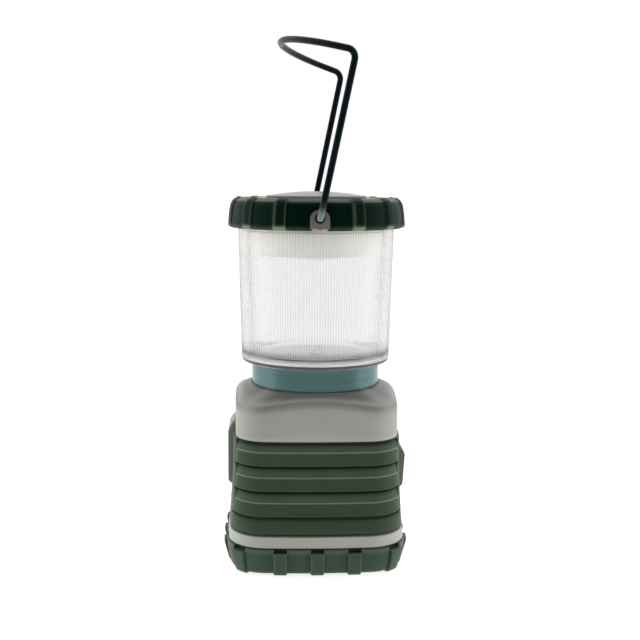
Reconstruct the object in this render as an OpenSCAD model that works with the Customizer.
// Camping lantern for three D cells: an LED lamp under a fluted globe on a rubber-sleeved body,
// with a bumper cap, a folding wire bail, a side switch and a twist-off battery door.
// Millimetres. The origin is on the lantern's axis at the plane of its feet, +Z is up,
// -Y is the front, -X is the switch side and +X is the badge side.

/* [Cells] */
// Diameter of one D cell
cell_d = 33.2; // [32.4:0.1:34.2]
// Length of a cell without its nub
cell_len = 60; // [59:0.1:61]
// Diameter of the positive nub
nub_d = 9.5; // [8:0.5:11]
// Height of the positive nub
nub_h = 1.5; // [1:0.1:2]
// Gap between neighbouring cells
cell_gap = 0.8; // [0.4:0.1:1.2]

/* [Battery holder] */
// Thickness of the holder's end plates
holder_plate = 2; // [1.5:0.1:3]
// Wall outside the cells
holder_wall = 1.2; // [0.8:0.1:2]
// Height of the cups round the cell ends
cup_h = 3; // [2:0.5:6]
// Free height of a contact spring
spring_h = 3; // [2.5:0.1:4]
// Wire diameter of a contact spring
spring_wire = 0.9; // [0.6:0.1:1]
// Thickness of the contact strips
contact_t = 0.4; // [0.3:0.1:0.8]
// Width of the contact strips
contact_w = 13; // [8:1:15]

/* [Body shell] */
// Wall of the shell behind the sleeve
shell_wall = 2.3; // [1.8:0.1:3]
// How far the shell's bare upper part stands outside the sleeve's seat
shell_lip = 1.1; // [0.6:0.1:2]
// Corner radius of the body's plan at its reference width
corner_r = 18; // [14:1:20]
// Radius of the slight bow of each side
bow_r = 360; // [250:10:600]
// Height of the grey skirt under the sleeve
skirt_h = 5.8; // [4:0.2:8]
// How far the skirt stands outside the sleeve's seat
skirt_flare = 4.8; // [3:0.1:6]
// Height of the shell's bare upper part up to the shoulder
shoulder_h = 20; // [15:0.1:24]
// Thickness of the shell's roof under the collar
roof_t = 7.7; // [7:0.1:10]
// Fall of the domed top for each millimetre outwards
dome_slope = 0.42; // [0.2:0.02:0.6]
// Radius of the shoulder's rounded edge
shoulder_r = 4; // [1.5:0.5:5]

/* [Rubber sleeve] */
// Height of the plain band at the bottom
plain_band_h = 7.8; // [6:0.1:10]
// Height of the groove under each band
groove_h = 1.1; // [0.6:0.1:1.6]
// Thickness of the sleeve at its top
sleeve_t = 2.2; // [1.8:0.1:3]
// Growth of the sleeve's thickness from its top to its foot
sleeve_flare = 2; // [0:0.1:3]
// How deep a band's sloped top edge falls back
slope_d = 0.9; // [0.4:0.1:1.2]
// Height of a band's sloped top
slope_h = 4.7; // [3:0.1:6]
// How far the raised panels stand out
panel_d = 0.35; // [0.2:0.05:0.6]

/* [Base] */
// Height of the feet under the boot
foot_h = 0.6; // [0.4:0.1:1.5]
// Thickness of the boot's floor
boot_floor = 2.2; // [1.5:0.1:3]
// Height of the boot above the feet
boot_h = 13.1; // [12:0.1:16]
// Wall of the boot at its top edge
boot_wall = 3.3; // [2:0.1:4]
// Seam between the boot and the skirt
seam = 0.5; // [0.3:0.1:1]
// Width of a rib of the boot
boot_rib_w = 6.5; // [4:0.5:8]
// Width of the rib on each corner of the boot
corner_rib_w = 7.5; // [5:0.5:9]
// How far a rib stands out of the boot
boot_rib_d = 0.8; // [0.4:0.1:1.5]
// How much further a rib stands out at its top
rib_lean = 0.9; // [0:0.1:1.2]
// Spacing of the ribs along a side
boot_rib_pitch = 18.4; // [14:0.2:20]
// Depth of the notch in the boot's edge over each rib
notch_h = 1.8; // [1:0.1:3]

/* [Battery door] */
// How much further out the door reaches than the battery holder
door_margin = 1.1; // [0.8:0.1:1.6]
// Thickness of the door's plate
door_plate = 4; // [3.5:0.1:4.5]
// Height of the door over all
door_h = 7.2; // [6.8:0.1:8]
// How far the door sits above the boot's floor face
door_recess = 0.4; // [0.2:0.1:1]
// How far the locking lugs stand out
lug_d = 1.8; // [1.2:0.1:2]
// Height of the locking lugs
lug_h = 2; // [1.5:0.1:2.4]
// Angle that one lug spans
lug_arc = 20; // [14:1:26]
// Turn of the door from locked to open
door_turn = 45; // [40:1:60]
// Wire diameter of the door's seal
door_seal_d = 1.2; // [0.8:0.1:1.4]

/* [Switch and badge] */
// Height of the switch bezel
bezel_h = 33.5; // [28:0.5:36]
// Width of the switch bezel
bezel_w = 30; // [26:0.5:34]
// How far the bezel stands out of the shell's bare face
bezel_out = 3.5; // [3:0.1:4.5]
// Diameter of the push button
button_d = 20; // [16:0.5:22]
// How far the button stands out of the bezel
button_proud = 0.4; // [0.2:0.1:1]
// Travel of the button
button_travel = 1.2; // [0.8:0.1:1.4]
// Diameter of the button's stem
stem_d = 8; // [6:0.5:9]
// Height of the badge plate
badge_h = 23.1; // [18:0.5:26]
// Width of the badge plate
badge_w = 30; // [24:0.5:34]
// How far the badge plate stands out of the shell's bare face
badge_out = 4.8; // [4:0.1:6]

/* [Circuit] */
// Thickness of the circuit boards
board_t = 1.6; // [1:0.1:2]
// Width of the driver board
board_w = 24; // [20:0.5:26]
// Height of the driver board
board_h = 28; // [24:0.5:30]
// Side of the tact switch's square case
tact_w = 8; // [6:0.5:10]
// Diameter of the switch plunger
plunger_d = 3.4; // [2.5:0.1:4]
// Diameter of the lamp's leads
lead_d = 1.6; // [1:0.1:2]

/* [Lamp] */
// Outer radius of the metal collar
collar_r = 32.8; // [31.5:0.1:33.2]
// Wall of the metal collar
collar_wall = 1.2; // [0.8:0.1:2]
// Height of the collar
collar_h = 15.1; // [13:0.1:18]
// How deep the collar sits in the shell
collar_seat = 4; // [3:0.1:5]
// How far the lamp deck reaches over the collar
deck_lip = 1.4; // [1:0.1:1.8]
// Thickness of the lamp deck
deck_t = 2.2; // [2:0.1:3]
// Radius of the heat sink's pedestal under the LED
pedestal_r = 12; // [10:0.5:14]
// Thickness of the heat sink's plate
sink_plate = 2.5; // [2:0.1:4]
// Height of the heat sink's fins
fin_h = 6; // [4:0.5:7]
// Thickness of one fin
fin_t = 1.2; // [0.8:0.1:2]
// Radius of the LED's dome
led_r = 6; // [4:0.5:7]
// Height of the LED's dome
led_h = 5; // [3:0.1:6]

/* [Globe] */
// Thickness of the globe's foot round the deck
globe_foot_t = 3.6; // [3:0.1:4]
// How much wider the globe is at its top
globe_flare = 1.9; // [1.5:0.1:3.5]
// Height of the globe
globe_h = 71.1; // [60:0.5:80]
// Wall of the globe
globe_wall = 1.8; // [1.4:0.1:2.2]
// Height of the reflector's skirt in view below the cap
skirt_drop = 13; // [8:0.5:18]
// Depth of the reflector's cone below its skirt
cone_drop = 4; // [2:0.5:8]
// Wire diameter of the globe's seal
globe_seal_d = 1; // [0.8:0.1:1.1]

/* [Cap] */
// Wall of the cap's skirt round the globe
cap_wall = 1.5; // [1.2:0.1:2]
// Height of the bumper
bumper_h = 15; // [14:0.1:17]
// Wall of the bumper at its foot
bumper_wall = 2.95; // [2.6:0.05:3.2]
// How far a rib stands out of the bumper
cap_rib_d = 0.7; // [0.4:0.1:1.2]
// Width of a rib of the bumper
cap_rib_w = 6; // [4:0.5:7]
// Ribs on each side between the two pivots
cap_ribs = 6; // [4:1:7]
// Angle between neighbouring ribs
cap_rib_pitch = 25.9; // [20:0.2:28]
// Width of the bumper's top from its foot to the top plate
bumper_top_w = 12.1; // [11:0.1:13]
// Width of the ledge round the raised disc
ledge_w = 6.9; // [5:0.1:9]
// Height of the raised disc
disc_h = 1.3; // [0.8:0.1:2]
// Height of the dome on the disc
dome_h = 2.1; // [1:0.1:3]
// Width of the pivot lugs
ear_w = 9.4; // [8:0.1:11]
// How far a pivot lug stands out of the bumper
ear_out = 1.6; // [1:0.1:2.5]

/* [Bail] */
// Diameter of the bail's wire
wire_d = 3.2; // [2.6:0.1:3.6]
// Length of a leg from its pivot to its corner
leg_len = 78.1; // [65:0.5:90]
// Lean of the legs towards the badge side at rest
leg_lean = 11.66; // [0:0.5:20]
// How far each leg spreads from its pivot to its corner
leg_spread = 3.2; // [1.5:0.1:5]
// Reach of the bent loop from its corners to its tip
loop_reach = 35.4; // [25:0.5:42]
// Rise of the loop above level at rest
loop_rise = 15.7; // [0:0.5:30]
// Centre-line radius of the bend at a corner
corner_bend = 4.5; // [3.5:0.5:8]

/* [Clearances] */
// Gap round pieces that sit still
fit_gap = 0.3; // [0.2:0.05:0.4]
// Radial clearance of a pin in its bore
pin_gap = 0.08; // [0.03:0.01:0.1]
// Gap between a moving face and its seat
seat_gap = 0.05; // [0.05:0.01:0.2]

/* [Hidden] */
$fn = 96;
e = 0.01; // cutters run this far past a face

// Cells and their holder, from the door upwards
cell_r = cell_d / 2;
cell_ring = (cell_d + cell_gap) / sqrt(3);
holder_r = cell_ring + cell_r + holder_wall;
door_z0 = foot_h + door_recess;
door_r = holder_r + door_margin;
holder_z0 = door_z0 + door_h + fit_gap;
contact_z0 = holder_z0 + holder_plate;
cell_z0 = contact_z0 + contact_t + spring_h;
stack_top = cell_z0 + cell_len + nub_h;
holder_z1 = stack_top + contact_t;
holder_top = holder_z1 + holder_plate;
CELLS = [[0, true], [120, false], [240, true]]; // azimuth, and whether the nub is up
post_r = cell_ring - cell_r - 0.4;

// Plan widths at the middle of a side
cavity_a = holder_r + 0.5;
seat_a = cavity_a + shell_wall;
shell_a = seat_a + shell_lip;
skirt_a = seat_a + skirt_flare;
frame_a = skirt_a - 2.3;
boot_a = frame_a + boot_wall;
plan_a = seat_a + 3.2; // the reference width that corner_r belongs to

// Heights of the body
boot_z0 = foot_h;
boot_z1 = boot_z0 + boot_h;
skirt_z0 = boot_z1 + seam;
skirt_z1 = skirt_z0 + skirt_h;
sleeve_z0 = skirt_z1 + groove_h;
ceiling_z = holder_top + 0.5;
collar_hole_r = collar_r + fit_gap;
collar_in_r = collar_r - collar_wall;
collar_z0 = ceiling_z + roof_t;
shoulder_z = collar_z0 + collar_seat - dome_slope * (shell_a - collar_hole_r);
sleeve_z1 = shoulder_z - shoulder_h;
bands = 3;
band_h = (sleeve_z1 - sleeve_z0 - plain_band_h) / bands;
collar_z1 = collar_z0 + collar_h;
deck_r = collar_r + deck_lip;
deck_z1 = collar_z1 + deck_t;
led_z0 = deck_z1 + 0.2;
fin_pitch = 5;

// Heights of the globe and the cap
globe_r0 = deck_r + fit_gap + globe_foot_t;
globe_r1 = globe_r0 + globe_flare;
globe_z0 = collar_z1 + 0.4;
globe_z1 = globe_z0 + globe_h;
seal_z = globe_z0 + 1;
seal_groove_r = deck_r + fit_gap + globe_seal_d - 0.1;
spigot_z0 = globe_z1 - 2;
ledge_z = globe_z1 + fit_gap;
bumper_z0 = globe_z1 - 3;
bumper_z1 = bumper_z0 + bumper_h;
pivot_z = bumper_z0 + 6;
cap_deck_z0 = ledge_z + 3.3;
cap_deck_z1 = cap_deck_z0 + 2.4;
cap_skirt_r = globe_r1 + fit_gap + cap_wall;
bumper_r = cap_skirt_r + seat_gap + bumper_wall;
bumper_hole_r = bumper_r - bumper_top_w;
plate_r = bumper_hole_r - fit_gap;
disc_r = plate_r - ledge_w;
cap_rim_r = cap_skirt_r - 2.2;
cap_neck_wall = 1.6;
reflector_z0 = bumper_z0 - skirt_drop;
reflector_r = globe_in(reflector_z0) - fit_gap;
top_seat_z = bumper_z1 - 0.2;
plate_t = 1.8;
plate_rim = 2;
ear_round_z = pivot_z - 0.6;
ear_foot = 1.2; // height of a lug's foot above the bumper's
ear_notch_w = 0.8 * ear_w;
ear_root_y = cap_skirt_r - 1.2;

// The bail
pin_r = wire_d / 2 - 0.1;
ear_y = bumper_r + ear_out;
leg_y = ear_y + wire_d / 2 + 0.9;
corner_y = leg_y + leg_spread;
pin_in_y = ear_y - 5;
foot_bend = 1.9;
leg_dir = [sin(leg_lean), 0, cos(leg_lean)];
loop_dir = [-cos(loop_rise), 0, sin(loop_rise)];
leg_rise = sqrt(leg_len * leg_len - (corner_y - leg_y) * (corner_y - leg_y));
loop_r = (corner_y * corner_y + loop_reach * loop_reach) / (2 * loop_reach);

// Switch side: the board stands on bosses of the shell's wall
boss_len = 2.2;
board_boss_r = 2.6;
board_screw_r = 0.9;
board_screw_x = -(cavity_a + 1.3); // where the screws' holes end in the shell's wall
board_x1 = -(cavity_a - boss_len);
board_x2 = board_x1 + board_t;
holder_flat_x = board_x2 + lead_d + 0.4; // the holder's flat clears the leads
bezel_z1 = sleeve_z1 + 4.1;
bezel_z0 = bezel_z1 - bezel_h;
button_zm = bezel_z1 - bezel_h / 2 - 1.4;
board_zm = button_zm;
tact_t = boss_len - 0.2;
tact_x = board_x1 - tact_t;
stem_x = tact_x - button_travel - fit_gap; // the stem's inner end at rest
BOARD_SCREWS = [for (s = [-1, 1]) [-s * (board_w / 2 - 3), board_zm + s * (board_h / 2 - 3)]]; // y, z
lead_x = 4 - pedestal_r;
lead_way_r = 15;
lead_way_w = 8;
bezel_reach = shell_a + bezel_out + 10;
badge_z0 = sleeve_z0 + plain_band_h + groove_h + 5.8;

// The door's lugs and seal
lug_z0 = door_z0 + door_h - lug_h;
lug_r = door_r + lug_d;
lug_az = [30, 150, 270];
door_seal_z = lug_z0 - 1.7;
door_seal_r = door_r + fit_gap - 0.1 - door_seal_d / 2;

// Joining screws: a thread cuts its own hole, and clears the piece that it holds down
screw_r = 1.4;
screw_head_r = 2.7;
screw_head_h = 1.8;
thread_gap = 0.05;
shank_gap = 0.2;
deck_screw_ring = collar_in_r - screw_head_r - fit_gap - 3.6;
deck_screw_az = [90, 210, 330];
deck_head_z = deck_z1 - screw_head_h - 0.2;
deck_screw_end = collar_z0 - 6;
cap_screw_ring = plate_r - plate_rim - screw_head_r - 0.7;
cap_screw_az = [45, 135, 225, 315];
cap_screw_len = 8;
case_screw_az = [45, 135, 225, 315];
case_screw_d = lug_r + 2 * fit_gap + screw_head_r + 1.2; // from the axis, along a diagonal
case_screw_grip = 11; // how deep the case screws reach into the shell
case_boss_r = 3.6;
case_web_t = 4; // the web that joins each boss to its corner
case_head_z = boot_z0 + boot_floor + 4;

// ---- Plan of the body: a square with bowed sides and round corners, named by its normals ----
function plan_phi() = 45 + asin((plan_a - bow_r) / (sqrt(2) * (bow_r - corner_r)));
plan_c = (bow_r - corner_r) * sin(plan_phi()); // centre of a corner's arc, in x and in y
function plan_quadrant(th) = floor((th + 45) / 90);
function plan_local(t) = abs(t) <= plan_phi()
    ? [plan_a - bow_r + bow_r * cos(t), bow_r * sin(t)]
    : [plan_c + corner_r * cos(t), sign(t) * plan_c + corner_r * sin(t)];
function turn(p, q) = [p.x * cos(q) - p.y * sin(q), p.x * sin(q) + p.y * cos(q)];
// The plan's point whose normal lies at th, on the plan grown to half width a
function plan_point(th, a) =
    let (q = 90 * plan_quadrant(th), t = th - q, p = plan_local(t))
    turn(p + (a - plan_a) * [cos(t), sin(t)], q);

FACE_STEPS = 4;
CORNER_STEPS = 10;
PLAN_TH = [for (q = [0 : 3], i = [0 : FACE_STEPS + CORNER_STEPS - 1])
    let (f = plan_phi())
    90 * q + (i < FACE_STEPS ? -f + 2 * f * i / FACE_STEPS
                             : f + (90 - 2 * f) * (i - FACE_STEPS) / CORNER_STEPS)];
RING_N = len(PLAN_TH);

function plan_outline(a) = [for (th = PLAN_TH) plan_point(th, a)];
function plan_ring(a, z) = [for (th = PLAN_TH) let (p = plan_point(th, a)) [p.x, p.y, z]];
function circle_ring(r, z) = [for (th = PLAN_TH)
    let (p = plan_point(th, seat_a), u = p / norm(p)) [r * u.x, r * u.y, z]];

// The domed top of the shell, and the rounded edge that joins it to the walls
function dome_z(r) = // gentler towards the corners
    shoulder_z + dome_slope * (r > shell_a ? 0.8 : 1) * (shell_a - r);
function shoulder_ring(t) = // t runs from 0 on the wall to 1 on the dome
    let (beta = atan(dome_slope), f = t * (90 - beta))
    [for (th = PLAN_TH)
        let (p_end = plan_point(th, shell_a - shoulder_r * (1 - sin(beta))),
             p = plan_point(th, shell_a - shoulder_r * (1 - cos(f))),
             zc = dome_z(norm(p_end)) - shoulder_r * cos(beta))
        [p.x, p.y, zc + shoulder_r * sin(f)]];
function dome_ring(r) = circle_ring(r, dome_z(r));

// Outer radius and inner radius of the globe at a height
function globe_out(z) = globe_r0 + (globe_r1 - globe_r0) * (z - globe_z0) / globe_h;
function globe_in(z) = globe_out(z) - globe_wall;

// ---- Modules that build from rings, paths and profiles ----
// Two triangles for each step round the wall between the rings that start at points a and b
function wall_faces(n, a, b) = [for (i = [0 : n - 1]) let (j = (i + 1) % n)
    each [[a + i, b + j, a + j], [a + i, b + i, b + j]]];

// A closed tube of rings: the last ring joins the first
module ring_tube(rings) {
    n = len(rings[0]);
    m = len(rings);
    polyhedron(points = [for (r = rings) each r],
               faces = [for (k = [0 : m - 1]) each wall_faces(n, k * n, ((k + 1) % m) * n)]);
}

// A solid stack of rings with flat ends, from the lowest to the highest
module ring_stack(rings) {
    n = len(rings[0]);
    m = len(rings);
    sides = [for (k = [0 : m - 2]) each wall_faces(n, k * n, (k + 1) * n)];
    foot = [for (i = [0 : n - 1]) i];
    head = [for (i = [n - 1 : -1 : 0]) (m - 1) * n + i];
    polyhedron(points = [for (r = rings) each r], faces = concat(sides, [foot, head]));
}

function unit(v) = v / norm(v);
function tangent(path, i) = unit(path[min(i + 1, len(path) - 1)] - path[max(i - 1, 0)]);
// A round wire along a path; ref is a direction that the path never runs along
module wire(path, r, ref, sides = 12) {
    n = len(path);
    rings = [for (i = [0 : n - 1])
        let (t = tangent(path, i), u = unit(cross(t, ref)), v = cross(t, u))
        [for (s = [0 : sides - 1]) let (a = 360 * s / sides) path[i] + r * (cos(a) * u + sin(a) * v)]];
    ring_stack(rings);
}

// Arc of centre-line radius r at the middle one of three points
function bend(p0, p1, p2, r, steps) =
    let (u = unit(p0 - p1), v = unit(p2 - p1), half = acos(u * v) / 2,
         reach = r / tan(half), centre = p1 + unit(u + v) * r / sin(half),
         a = p1 + u * reach - centre, b = p1 + v * reach - centre)
    [for (i = [0 : steps]) let (f = i / steps, ang = 180 - 2 * half)
        centre + (a * sin((1 - f) * ang) + b * sin(f * ang)) / sin(ang)];

module ring(r_out, r_in, z0, z1) {
    difference() {
        translate([0, 0, z0]) cylinder(r = r_out, h = z1 - z0);
        translate([0, 0, z0 - e]) cylinder(r = r_in, h = z1 - z0 + 2 * e);
    }
}

module disc(r, z0, z1) {
    translate([0, 0, z0]) cylinder(r = r, h = z1 - z0);
}

// A sector of the given angle and centre azimuth, as a cutter or a limit
module sector(r, arc, az, z0, z1) {
    x = r * cos(arc / 2);
    y = r * sin(arc / 2);
    rotate([0, 0, az]) translate([0, 0, z0]) linear_extrude(z1 - z0)
        polygon([[0, 0], [x, -y], [r / cos(arc / 2), 0], [x, y]]);
}

// A pan-head screw with its head's underside at the origin, pointing down
module screw(length) {
    slot_l = 3.2;
    slot_w = 0.7;
    slot_d = 0.9;
    translate([0, 0, -length]) cylinder(r = screw_r, h = length + e);
    difference() {
        cylinder(r = screw_head_r, h = screw_head_h);
        for (a = [0, 90]) rotate([0, 0, a])
            translate([-slot_l / 2, -slot_w / 2, screw_head_h - slot_d]) cube([slot_l, slot_w, 2 * slot_d]);
    }
}

// Copies its children to each azimuth, at the given distance from the axis
module around(azimuths, d = 0) {
    for (az = azimuths) rotate([0, 0, az]) translate([d, 0, 0]) children();
}

// A cylinder along -X or +X from a wall: its base is at x and it runs inwards
module pin_x(x, y, z, r, h) {
    translate([x, y, z]) rotate([0, 90, 0]) cylinder(r = r, h = h);
}

// ---- Cap and bail ----
function bail_half() =
    let (pin = [0, leg_y - 2, pivot_z], foot = [0, leg_y, pivot_z],
         corner = [0, corner_y, pivot_z] + leg_rise * leg_dir, psi = asin(corner_y / loop_r),
         along = [0, -sin(90 - psi), 0] + cos(90 - psi) * loop_dir)
    concat([pin], bend(pin, foot, corner, foot_bend, 5),
           bend(foot, corner, corner + 12 * along, corner_bend, 8));
function loop_arc() =
    let (psi = asin(corner_y / loop_r) - 6, mid = [0, 0, pivot_z] + leg_rise * leg_dir, steps = 24)
    [for (i = [0 : steps]) let (a = psi * (1 - 2 * i / steps))
        mid + (loop_reach - loop_r + loop_r * cos(a)) * loop_dir + [0, loop_r * sin(a), 0]];
function mirrored(path) =
    [for (i = [len(path) - 1 : -1 : 0]) [path[i].x, -path[i].y, path[i].z]];

module bail_handle() {
    pin_out_y = leg_y - 1; // the pin starts inside the wire's foot
    color([0.07, 0.12, 0.14]) {
        wire(concat(bail_half(), loop_arc(), mirrored(bail_half())), wire_d / 2, leg_dir - loop_dir);
        for (s = [-1, 1]) translate([0, s * (pin_in_y + pin_out_y) / 2, pivot_z]) rotate([90, 0, 0])
            cylinder(r = pin_r, h = pin_out_y - pin_in_y, center = true);
    }
}

// The D-shaped outline of both pivot lugs, grown by g, as bars along Y from y0 to y1
module ear_bar(y0, y1, g) {
    r = ear_w / 2 + g;
    foot_z = bumper_z0 + ear_foot - g;
    around([0, 180]) {
        translate([0, y1, ear_round_z]) rotate([90, 0, 0]) cylinder(r = r, h = y1 - y0);
        translate([-r, y0, foot_z]) cube([2 * r, y1 - y0, ear_round_z - foot_z]);
    }
}

module cap_frame() {
    neck_r = reflector_r - cap_neck_wall;
    color([0.42, 0.40, 0.37]) difference() {
        union() {
            ring(cap_skirt_r, globe_r1 + fit_gap, bumper_z0 + 1, cap_deck_z1);
            ring(globe_in(globe_z1) - fit_gap, neck_r, spigot_z0, cap_deck_z1);
            ring(cap_skirt_r, neck_r, ledge_z, cap_deck_z1);
            disc(cap_skirt_r, cap_deck_z0, cap_deck_z1);
            ring(cap_rim_r, bumper_hole_r + 0.6, cap_deck_z0, bumper_z1 - 1.2);
            ear_bar(ear_root_y, ear_y, 0);
        }
        around([0, 180]) translate([0, ear_y + 1, pivot_z]) rotate([90, 0, 0])
            cylinder(r = pin_r + pin_gap, h = ear_y + 1 - pin_in_y + fit_gap);
        around(cap_screw_az, cap_screw_ring) disc(screw_r + shank_gap, cap_deck_z0 - 1, cap_deck_z1 + 1);
    }
}

// Outer profile of the bumper, from its foot to its top, grown by g
function bumper_profile(g) = [
    [bumper_r - 1.2 + g, bumper_z0], [bumper_r + g, bumper_z0 + 1.2], [bumper_r + g, bumper_z0 + 1.8],
    [bumper_r - 0.5 + g, bumper_z0 + 7.6], [bumper_r - 1.2 + g, bumper_z0 + 11.7],
    [bumper_r - 2.4 + g, bumper_z1 - 1.3 + g / 2], [bumper_r - 4.7 + g, bumper_z1 + 0.6 * g]];

// The ribs of the bumper lie on its outer profile, over the two sides between the lugs
module bumper_ribs() {
    root_r = bumper_r - 1.6;
    for (side = [0, 180], k = [0 : cap_ribs - 1]) intersection() {
        rotate_extrude() polygon(concat(bumper_profile(cap_rib_d), [
            [bumper_r - 6, bumper_z1 + 0.6 * cap_rib_d], [bumper_r - 6, bumper_z1 - 0.4],
            [bumper_r - 3.4, bumper_z1 - 1.6], [root_r, bumper_z1 - 3.6],
            [root_r, bumper_z0 + 1], [bumper_r - 2.4, bumper_z0]]));
        rotate([0, 0, side + (k - (cap_ribs - 1) / 2) * cap_rib_pitch])
            translate([bumper_r - 8, -cap_rib_w / 2, bumper_z0 - 1]) cube([12, cap_rib_w, bumper_h + 3]);
    }
}

module cap_bumper() {
    in_r = cap_skirt_r + seat_gap;
    top_r = cap_rim_r + seat_gap;
    lip_z = bumper_z1 - 1.1;
    shelf_z = cap_deck_z1 + seat_gap;
    color([0.10, 0.15, 0.11]) difference() {
        union() {
            rotate_extrude() polygon(concat(bumper_profile(0), [[bumper_hole_r, bumper_z1],
                [bumper_hole_r, lip_z], [top_r, lip_z], [top_r, shelf_z],
                [in_r, shelf_z], [in_r, bumper_z0]]));
            bumper_ribs();
        }
        ear_bar(ear_root_y - fit_gap, ear_y + 2, fit_gap);
        around([90, 270], cap_skirt_r - 1) // a notch under each lug
            translate([0, -ear_notch_w / 2, bumper_z0 - 1]) cube([8, ear_notch_w, 4]);
    }
}

module top_plate() {
    disc_z = top_seat_z + disc_h;
    color([0.66, 0.67, 0.67]) union() {
        ring(plate_r, plate_r - plate_rim, cap_deck_z1, top_seat_z);
        disc(plate_r, top_seat_z - plate_t, top_seat_z);
        rotate_extrude() polygon([[0, top_seat_z - 1], [disc_r, top_seat_z - 1], [disc_r, disc_z],
            for (t = [1 : -0.125 : 0]) [(disc_r - 1) * t, disc_z + dome_h * (1 - t * t)]]);
    }
}

module top_reflector() {
    wall = 1.5;
    in_r = reflector_r - wall;
    tip_z = reflector_z0 - cone_drop;
    rim_z = spigot_z0 - 2.5;
    color([0.93, 0.92, 0.86]) difference() {
        union() {
            rotate_extrude() polygon([[0, tip_z], [in_r, reflector_z0 + 0.6], [in_r, reflector_z0],
                [reflector_r, reflector_z0], [reflector_r, rim_z], [in_r, rim_z],
                [in_r, reflector_z0 + 2.2], [0, tip_z + wall]]);
            ring(in_r - 0.2, in_r - 2.5, reflector_z0 + 1.6, cap_deck_z0);
            around(cap_screw_az, cap_screw_ring) disc(screw_r + 2, reflector_z0 - 0.4, cap_deck_z0);
            disc(1.6, tip_z - 0.9, tip_z + 1.2);
            ring(reflector_r - 1, reflector_r - 3, rim_z - 1.5, rim_z);
        }
        around(cap_screw_az, cap_screw_ring)
            disc(screw_r + thread_gap, cap_deck_z0 - cap_screw_len - 1, cap_deck_z0 + 1);
    }
}

module cap_screws() {
    color([0.6, 0.6, 0.6]) around(cap_screw_az, cap_screw_ring)
        translate([0, 0, cap_deck_z1]) screw(cap_screw_len);
}

// ---- Globe and lamp head ----
module globe() {
    in0 = deck_r + fit_gap;
    ledge = deck_z1 + seat_gap;
    stop_r = deck_r - 1; // the globe's inner ledge stands on the deck's edge
    color([0.85, 0.88, 0.9, 0.35]) difference() {
        rotate_extrude() polygon([[in0, globe_z0], [globe_r0 - 0.9, globe_z0],
            [globe_r0 - 0.25, globe_z0 + 0.3], [globe_r0, globe_z0 + 0.9], [globe_r1, globe_z1],
            [globe_r1 - globe_wall, globe_z1], [globe_in(ledge + 3), ledge + 3],
            [stop_r, ledge + 1.2], [stop_r, ledge], [in0, ledge]]);
        ring(seal_groove_r, in0 - 1, seal_z - globe_seal_d / 2 - 0.1, seal_z + globe_seal_d / 2 + 0.1);
    }
}

module globe_seal() {
    color([0.1, 0.1, 0.1]) translate([0, 0, seal_z]) rotate_extrude()
        translate([deck_r + 0.1 + globe_seal_d / 2, 0]) circle(r = globe_seal_d / 2, $fn = 32);
}

module collar_ring() {
    color([0.45, 0.52, 0.52]) ring(collar_r, collar_r - collar_wall, collar_z0, collar_z1);
}

module lamp_deck() {
    color([0.2, 0.21, 0.22]) difference() {
        union() {
            disc(deck_r, collar_z1, deck_z1);
            disc(collar_in_r - fit_gap, collar_z1 - 1, collar_z1 + e);
        }
        disc(pedestal_r + fit_gap, collar_z1 - 2, deck_z1 + 1);
        around(deck_screw_az, deck_screw_ring) {
            disc(screw_r + shank_gap, collar_z1 - 2, deck_z1 + 1);
            disc(screw_head_r + fit_gap, deck_head_z, deck_z1 + 1);
        }
    }
}

module heat_sink() {
    z1 = collar_z1 - 1;
    z0 = z1 - sink_plate;
    fin_z = z0 - fin_h;
    r = collar_in_r - fit_gap;
    color([0.7, 0.7, 0.72]) difference() {
        union() {
            disc(r, z0, z1);
            disc(pedestal_r, fin_z, deck_z1 - 1);
            intersection() {
                disc(deck_screw_ring - 3, fin_z, z0 + e);
                for (k = [-4 : 4]) translate([k * fin_pitch - fin_t / 2, -r, fin_z])
                    cube([fin_t, 2 * r, fin_h + 1]);
            }
        }
        around(deck_screw_az, deck_screw_ring) disc(screw_r + shank_gap, z0 - 1, z1 + 1);
        translate([lead_x, 0, 0]) disc(2 * lead_d, fin_z - 1, deck_z1);
    }
}

module led_board() {
    color([0.9, 0.9, 0.88]) disc(pedestal_r - 1, deck_z1 - 1, led_z0);
}

module led_emitter() {
    rim = 0.8;
    color([0.93, 0.86, 0.55]) translate([0, 0, led_z0]) rotate_extrude()
        polygon([[0, 0], [led_r, 0], [led_r, rim],
            for (t = [0.9 : -0.15 : 0]) [led_r * t, rim + (led_h - rim) * sqrt(1 - t * t)]]);
}

module deck_screws() {
    color([0.6, 0.6, 0.6]) around(deck_screw_az, deck_screw_ring)
        translate([0, 0, deck_head_z]) screw(deck_head_z - deck_screw_end);
}

// ---- Body ----
// The outside of the shell, solid up to the collar
module shell_outside() {
    lip_z = sleeve_z1 + fit_gap;
    ring_stack([plan_ring(skirt_a - 0.3, skirt_z0), plan_ring(skirt_a, skirt_z0 + 0.6),
        plan_ring(skirt_a - 0.5, skirt_z1 - 0.4), plan_ring(skirt_a - 1, skirt_z1),
        plan_ring(seat_a, skirt_z1 + e), plan_ring(seat_a, lip_z), plan_ring(shell_a, lip_z + e),
        shoulder_ring(0), shoulder_ring(0.33), shoulder_ring(0.67), shoulder_ring(1),
        dome_ring(collar_r - 3)]);
}

// The room inside the shell, less the bosses that stand in it
module shell_inside() {
    z0 = skirt_z0 - 1;
    boss_top = skirt_z0 + case_screw_grip + 5;
    difference() {
        translate([0, 0, z0]) linear_extrude(ceiling_z - z0) polygon(plan_outline(cavity_a));
        around(case_screw_az, case_screw_d) {
            disc(case_boss_r, z0 - 1, boss_top);
            translate([0, -case_web_t / 2, z0 - 1]) cube([shell_a / 2, case_web_t, boss_top - z0 + 1]);
        }
        for (p = BOARD_SCREWS) pin_x(-cavity_a - 1, p.x, p.y, board_boss_r, boss_len + 1);
    }
}

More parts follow.
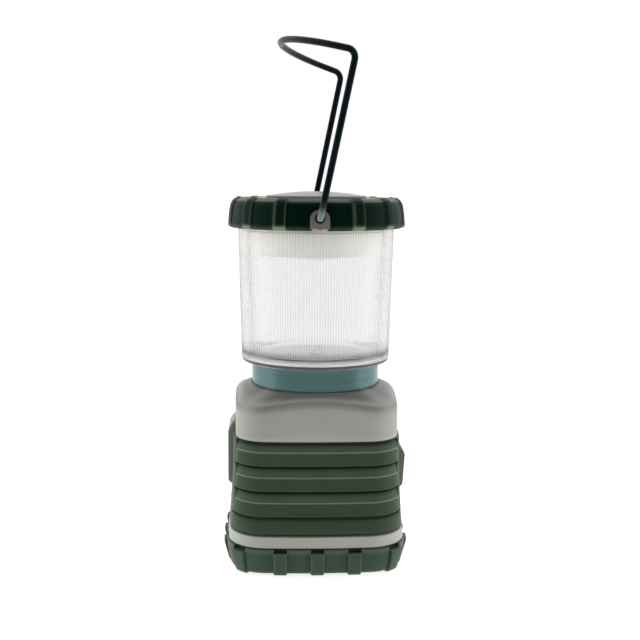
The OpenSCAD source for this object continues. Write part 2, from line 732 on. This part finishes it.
module body_shell() {
    color([0.57, 0.57, 0.54]) difference() {
        shell_outside();
        shell_inside();
        disc(collar_hole_r, collar_z0, shoulder_z + 20);
        disc(lead_way_r, ceiling_z - 1, collar_z0 + 1);
        translate([board_x1, -lead_way_w / 2, ceiling_z - 1])
            cube([-board_x1 - 10, lead_way_w, 2 + 2 * lead_d]);
        around(case_screw_az, case_screw_d)
            disc(screw_r + thread_gap, skirt_z0 - 1, skirt_z0 + case_screw_grip + 1);
        around(deck_screw_az, deck_screw_ring)
            disc(screw_r + thread_gap, deck_screw_end - 0.5, collar_z0 + 1);
        for (p = BOARD_SCREWS)
            pin_x(board_screw_x, p.x, p.y, board_screw_r + thread_gap, board_x1 - board_screw_x + 1);
        pin_x(-shell_a - 5, 0, button_zm, stem_d / 2 + fit_gap, 12);
    }
}

// Half width of the sleeve's outer face at a height
function sleeve_a(z) =
    seat_a + sleeve_t + sleeve_flare * pow((sleeve_z1 - z) / (sleeve_z1 - sleeve_z0), 2);
function band_rings(z0) = // one louvred band, from its groove up
    let (z1 = z0 + band_h, zs = z1 - slope_h, groove_a = seat_a + 1)
    [plan_ring(groove_a, z0), plan_ring(groove_a, z0 + groove_h - 0.2),
     plan_ring(sleeve_a(z0) + panel_d - 0.2, z0 + groove_h),
     plan_ring(sleeve_a(z0) + panel_d, z0 + groove_h + 0.3),
     plan_ring(sleeve_a(zs) + panel_d, zs - 0.3), plan_ring(sleeve_a(zs), zs + 0.1),
     plan_ring(sleeve_a(z1) - slope_d, z1 - e)];

// A bar through the bezel's rounded outline, grown by g, from the axis out to the switch side
module bezel_outline(g) {
    r = 7;
    translate([0, 0, bezel_z0 + bezel_h / 2]) rotate([0, -90, 0]) linear_extrude(bezel_reach)
        union() {
            square([bezel_h - 2 * r, bezel_w + 2 * g], center = true);
            square([bezel_h + 2 * g, bezel_w - 2 * r], center = true);
            for (sx = [-1, 1], sy = [-1, 1]) translate([sx * (bezel_h / 2 - r), sy * (bezel_w / 2 - r)])
                circle(r = r + g, $fn = 48);
        }
}

module badge_outline(g) {
    translate([0, -badge_w / 2 - g, badge_z0 - g])
        cube([shell_a + badge_out + 10, badge_w + 2 * g, badge_h + 2 * g]);
}

module rubber_sleeve() {
    foot_a = sleeve_a(sleeve_z0);
    bands_z = sleeve_z0 + plain_band_h;
    color([0.20, 0.25, 0.19]) difference() {
        ring_tube(concat([plan_ring(seat_a, sleeve_z0), plan_ring(foot_a - 0.3, sleeve_z0),
            plan_ring(foot_a, sleeve_z0 + 0.4), plan_ring(sleeve_a(bands_z) - slope_d / 2, bands_z - e)],
            [for (k = [0 : bands - 1]) each band_rings(bands_z + k * band_h)], [plan_ring(seat_a, sleeve_z1)]));
        bezel_outline(fit_gap);
        badge_outline(fit_gap);
    }
}

module switch_bezel() {
    out = shell_a + bezel_out;
    step_z = sleeve_z1 + fit_gap;
    top_z = bezel_z1 + 0.4;
    color([0.18, 0.23, 0.17]) difference() {
        intersection() {
            bezel_outline(0);
            translate([0, bezel_w / 2 + 1, 0]) rotate([90, 0, 0]) linear_extrude(bezel_w + 2)
                polygon([[-seat_a, bezel_z0 - 1], [-out + 2.5, bezel_z0 - 1], [-out, bezel_z0 + 3],
                    [-out, bezel_z1 - 4.5], [-out + 1.4, bezel_z1 - 1.6], [-out + 3, top_z],
                    [-shell_a, top_z], [-shell_a, step_z], [-seat_a, step_z]]);
        }
        pin_x(-out - 1, 0, button_zm, button_d / 2 + fit_gap, 12);
    }
}

module switch_button() {
    tip = shell_a + bezel_out + button_proud;
    head = 2.9;
    stem_l = tip + stem_x;
    color([0.16, 0.2, 0.15]) translate([-tip, 0, button_zm]) rotate([0, 90, 0]) rotate_extrude()
        polygon([[0, 0], [button_d / 2 - 3, 0.15], [button_d / 2 - 0.8, 0.7], [button_d / 2, 1.5],
            [button_d / 2, head], [stem_d / 2, head], [stem_d / 2, stem_l], [0, stem_l]]);
}

module switch_plunger() {
    color([0.75, 0.75, 0.75])
        pin_x(stem_x, 0, button_zm, plunger_d / 2, board_x1 - stem_x - button_travel);
}

module driver_board() {
    color([0.12, 0.35, 0.2]) difference() {
        translate([board_x1, -board_w / 2, board_zm - board_h / 2]) cube([board_t, board_w, board_h]);
        for (p = BOARD_SCREWS) pin_x(board_x1 - 1, p.x, p.y, board_screw_r + shank_gap, board_t + 2);
        pin_x(board_x1 - 1, 0, button_zm, plunger_d / 2 + 0.5, board_t + 2);
    }
}

module tact_switch() {
    color([0.1, 0.1, 0.1]) difference() {
        translate([tact_x, -tact_w / 2, button_zm - tact_w / 2]) cube([tact_t, tact_w, tact_w]);
        pin_x(tact_x - 1, 0, button_zm, plunger_d / 2 + pin_gap, tact_t + 2);
    }
}

// A coil, a driver chip and two small parts on the board's inner face
module driver_components() {
    color([0.25, 0.25, 0.27]) {
        pin_x(board_x2, 0, board_zm + 6, 3, 3.2);
        translate([board_x2, -8.5, board_zm - 7]) cube([1.6, 5, 4]);
        translate([board_x2, 4, board_zm - 6]) cube([1.2, 3.2, 1.6]);
        translate([board_x2, 5, board_zm + 3]) cube([1.2, 1.6, 3.2]);
    }
}

module board_screws() {
    color([0.6, 0.6, 0.6]) for (p = BOARD_SCREWS) {
        pin_x(board_x2, p.x, p.y, 2, 1.4);
        pin_x(board_screw_x + 0.5, p.x, p.y, board_screw_r, board_x2 - board_screw_x);
    }
}

// The lamp's two leads, from the driver board up through the roof to the LED board
module lead_wires() {
    r = lead_d / 2;
    x0 = board_x2 + r + 0.05;
    z0 = board_zm + board_h / 2 - 4;
    roof_z = ceiling_z + r + 0.4;
    color([0.75, 0.15, 0.12]) for (y = [-1.5, 1.5]) {
        p = [[x0, y, z0], [x0, y, roof_z], [lead_x, y, roof_z], [lead_x, y, deck_z1 - 1]];
        wire(concat([p[0]], bend(p[0], p[1], p[2], 3 * r, 5), bend(p[1], p[2], p[3], 3 * r, 5), [p[3]]),
             r, [0, 1, 0], 8);
    }
}

module badge_plate() {
    out = shell_a + badge_out;
    z1 = badge_z0 + badge_h;
    color([0.16, 0.2, 0.16]) translate([0, badge_w / 2, 0]) rotate([90, 0, 0]) linear_extrude(badge_w)
        polygon([[seat_a, badge_z0], [out - 3, badge_z0], [out - 1, badge_z0 + 2], [out, z1 - 5.4],
            [out - 0.5, z1 - 4], [out - 3.2, z1], [seat_a, z1]]);
}

// ---- Battery holder ----
module battery_holder() {
    flat = 20; // deeper than the slice that the flat takes off the round plates
    color([0.12, 0.12, 0.12]) difference() {
        union() {
            disc(holder_r, holder_z0, contact_z0 + cup_h);
            disc(post_r, holder_z0, holder_top);
            disc(holder_r, holder_z1 - cup_h, holder_top);
        }
        around([for (c = CELLS) c[0]], cell_ring) disc(cell_r + fit_gap, contact_z0, holder_z1);
        translate([holder_flat_x - flat, -holder_r, holder_z0 - 1])
            cube([flat, 2 * holder_r, holder_top - holder_z0 + 2]);
    }
}

// Cell number k, with its nub up or down
module cell(k) {
    c = CELLS[k];
    base_z = contact_z0 + contact_t;
    z = c[1] ? cell_z0 : base_z + nub_h;
    nub_z = c[1] ? cell_z0 + cell_len - e : base_z;
    around([c[0]], cell_ring) {
        color([0.72, 0.6, 0.35]) disc(cell_r, z, z + cell_len);
        color([0.75, 0.75, 0.75]) disc(nub_d / 2, nub_z, nub_z + nub_h + e);
    }
}
module cell_1() { cell(0); }
module cell_2() { cell(1); }
module cell_3() { cell(2); }

// Conical springs press on each cell's flat end
module contact_springs() {
    turns = 2.5;
    steps = 30;
    r = spring_wire / 2;
    r_foot = 6.5;
    r_tip = 4;
    color([0.8, 0.8, 0.82]) for (c = CELLS) {
        z0 = c[1] ? contact_z0 + contact_t : holder_z1;
        up = c[1] ? 1 : -1;
        around([c[0]], cell_ring) translate([0, 0, z0])
            wire([for (i = [0 : steps]) let (f = i / steps, a = up * 360 * turns * f,
                      rr = r_foot + (r_tip - r_foot) * f)
                [rr * cos(a), rr * sin(a), up * (r + 0.02 + (spring_h - 2 * r - 0.04) * f)]],
                r, [0, 0, 1], 6);
    }
}

module contact_strip(z) {
    translate([-contact_w / 2, -contact_w / 2, z]) cube([contact_w, contact_w, contact_t]);
}
module top_contacts() {
    color([0.8, 0.8, 0.78]) around([for (c = CELLS) if (c[1]) c[0]], cell_ring) contact_strip(stack_top);
}
module bottom_contacts() {
    color([0.8, 0.8, 0.78]) around([for (c = CELLS) c[0]], cell_ring) contact_strip(contact_z0);
}

// ---- Base ----
module base_frame() {
    z0 = boot_z0 + boot_floor;
    bore = door_r + fit_gap;
    track_r = lug_r + fit_gap;
    color([0.25, 0.27, 0.25]) difference() {
        translate([0, 0, z0]) linear_extrude(skirt_z0 - z0) polygon(plan_outline(frame_a));
        disc(bore, z0 - 1, skirt_z0 + 1);
        ring(track_r, bore - 1, lug_z0 - fit_gap, lug_z0 + lug_h + fit_gap);
        for (az = lug_az) intersection() { // the gates that the door's lugs drop out of
            ring(track_r, bore - 1, z0 - 1, lug_z0 + lug_h);
            sector(lug_r + 4, lug_arc + 4, az - door_turn, z0 - 1, lug_z0 + lug_h);
        }
        around(case_screw_az, case_screw_d) {
            disc(screw_r + shank_gap, z0 - 1, skirt_z0 + 1);
            disc(screw_head_r + fit_gap, z0 - 1, case_head_z);
        }
    }
}

// Half width of the boot's outer face at a height above its floor face
BOOT_LINE = [[0, -3.4], [0.6, -2.6], [2, -1.9], [5, -1.2], [9, -0.5], [20, 0]];
function boot_at(h) = boot_a + lookup(h, BOOT_LINE);

// One rib of the boot with its foot, w wide, from inner_r out, reach further out than on a side
module boot_rib(w, reach, inner_r) {
    top = boot_h - notch_h;
    back = reach + frame_a + 0.6;
    toe = reach + boot_at(0) + boot_rib_d - 1.4;
    translate([0, w / 2, boot_z0]) rotate([90, 0, 0]) linear_extrude(w)
        polygon([[inner_r, -foot_h], [toe, -foot_h],
            for (h = [0.2, 1, 2, 5, 9, top]) [reach + boot_at(h) + boot_rib_d + rib_lean * h / top, h],
            [back, top], [back, 1], [inner_r, 1]]);
}

module base_boot() {
    z_in = boot_z0 + boot_floor;
    mouth = lug_r + 2 * fit_gap;
    diag = norm(plan_point(45, boot_a)) - boot_a;
    sides = [0 : 90 : 270];
    ribs = [-1 : 1];
    color([0.20, 0.27, 0.22]) difference() {
        union() {
            ring_tube([circle_ring(mouth, z_in), circle_ring(mouth, boot_z0),
                for (h = [0, 0.6, 2, 5, 9, boot_h]) plan_ring(boot_at(h), boot_z0 + h),
                plan_ring(frame_a, boot_z1), plan_ring(frame_a, z_in)]);
            around(sides) for (k = ribs) translate([0, k * boot_rib_pitch, 0])
                boot_rib(boot_rib_w, 0, frame_a - 1.4);
            around(case_screw_az) boot_rib(corner_rib_w, diag, frame_a + 2);
        }
        around(sides, frame_a - 2) for (k = ribs)
            translate([0, k * boot_rib_pitch - boot_rib_w / 2, boot_z1 - notch_h])
                cube([boot_wall + 9, boot_rib_w, notch_h + 3]);
        around(case_screw_az, diag + frame_a + 0.6)
            translate([0, -corner_rib_w / 2, boot_z1 - notch_h]) cube([12, corner_rib_w, notch_h + 3]);
    }
}

module case_screws() {
    color([0.6, 0.6, 0.6]) around(case_screw_az, case_screw_d) translate([0, 0, case_head_z])
        mirror([0, 0, 1]) screw(skirt_z0 + case_screw_grip - case_head_z);
}

module battery_door() {
    grip_w = 9;
    grip_d = 2.2;
    rim = 3;
    seal_cut = door_seal_d / 2 + 0.1; // half the seal's groove
    grip_margin = 14;
    color([0.28, 0.30, 0.28]) difference() {
        union() {
            disc(door_r, door_z0, door_z0 + door_h);
            for (az = lug_az) intersection() {
                disc(lug_r, lug_z0, lug_z0 + lug_h);
                sector(lug_r + 4, lug_arc, az, lug_z0, lug_z0 + lug_h);
            }
        }
        disc(door_r - rim, door_z0 + door_plate, door_z0 + door_h + 1);
        for (side = [0, 180]) intersection() { // a hollow each side leaves a bar to grip
            disc(door_r - grip_margin, door_z0 - 1, door_z0 + grip_d);
            rotate([0, 0, side]) translate([-door_r, grip_w / 2, door_z0 - 1])
                cube([2 * door_r, door_r, grip_d + 2]);
        }
        ring(door_r + 1, door_seal_r - seal_cut, door_seal_z - seal_cut, door_seal_z + seal_cut);
    }
}

module door_seal() {
    color([0.1, 0.1, 0.1]) translate([0, 0, door_seal_z]) rotate_extrude()
        translate([door_seal_r, 0]) circle(r = door_seal_d / 2, $fn = 32);
}

bail_handle();
cap_frame();
cap_bumper();
top_plate();
top_reflector();
cap_screws();
globe();
globe_seal();
collar_ring();
lamp_deck();
heat_sink();
led_board();
led_emitter();
deck_screws();
body_shell();
rubber_sleeve();
switch_bezel();
switch_button();
switch_plunger();
driver_board();
tact_switch();
driver_components();
board_screws();
lead_wires();
badge_plate();
battery_holder();
cell_1();
cell_2();
cell_3();
contact_springs();
top_contacts();
bottom_contacts();
base_frame();
base_boot();
case_screws();
battery_door();
door_seal();
